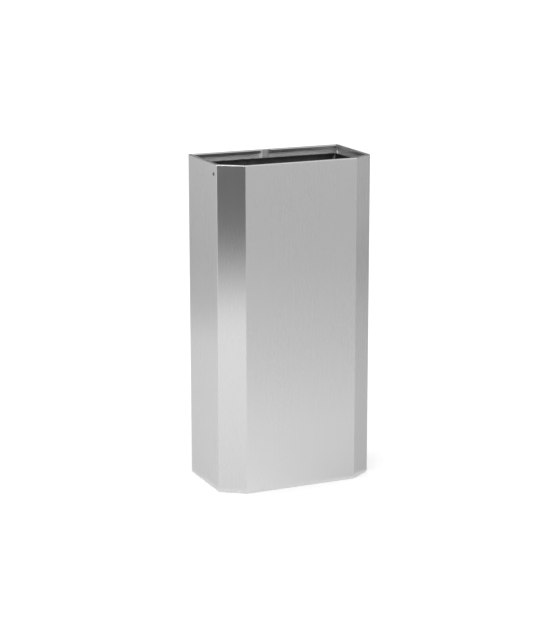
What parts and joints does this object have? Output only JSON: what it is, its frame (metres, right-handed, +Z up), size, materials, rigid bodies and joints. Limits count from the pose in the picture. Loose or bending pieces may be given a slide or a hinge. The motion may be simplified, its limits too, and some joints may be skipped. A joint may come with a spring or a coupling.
{
  "type": "open litter bin",
  "caption": "Tall open-topped litter bin bent from satin stainless sheet with chamfered front corners; a hinged ring inside holds the bag.",
  "frame": {"origin": "on the floor, in the middle of the bin's footprint", "axes": "+Z up, +X the bin's right seen from its front, -Y out of the chamfered front, +Y out of the flat back"},
  "size_m": [0.3022, 0.165, 0.6],
  "materials": {
    "satin_steel": "satin ground stainless steel with a fine vertical grain",
    "plain_steel": "mill finish stainless steel",
    "pin_steel": "dull steel",
    "nylon": "natural nylon",
    "black_film": "thin glossy black polyethylene film"
  },
  "bodies": {
    "bin": {"body_wrap": "satin_steel", "base_pan": "plain_steel", "bag": "black_film", "pivot_pin_left": "pin_steel", "pivot_pin_right": "pin_steel", "pivot_spacer_left": "nylon", "pivot_spacer_right": "nylon", "pivot_retainer_left": "pin_steel", "pivot_retainer_right": "pin_steel", "rest_bracket_left": "plain_steel", "rest_bracket_right": "plain_steel"},
    "ring": {"bag_ring": "plain_steel"}
  },
  "joints": [
    {"name": "ring_hinge", "type": "hinge", "parent": "bin", "child": "ring", "pos_m": [0, -0.038, 0.5815], "axis": [1, 0, 0], "range_deg": [0, 100], "deforming": ["bag"]}
  ]
}
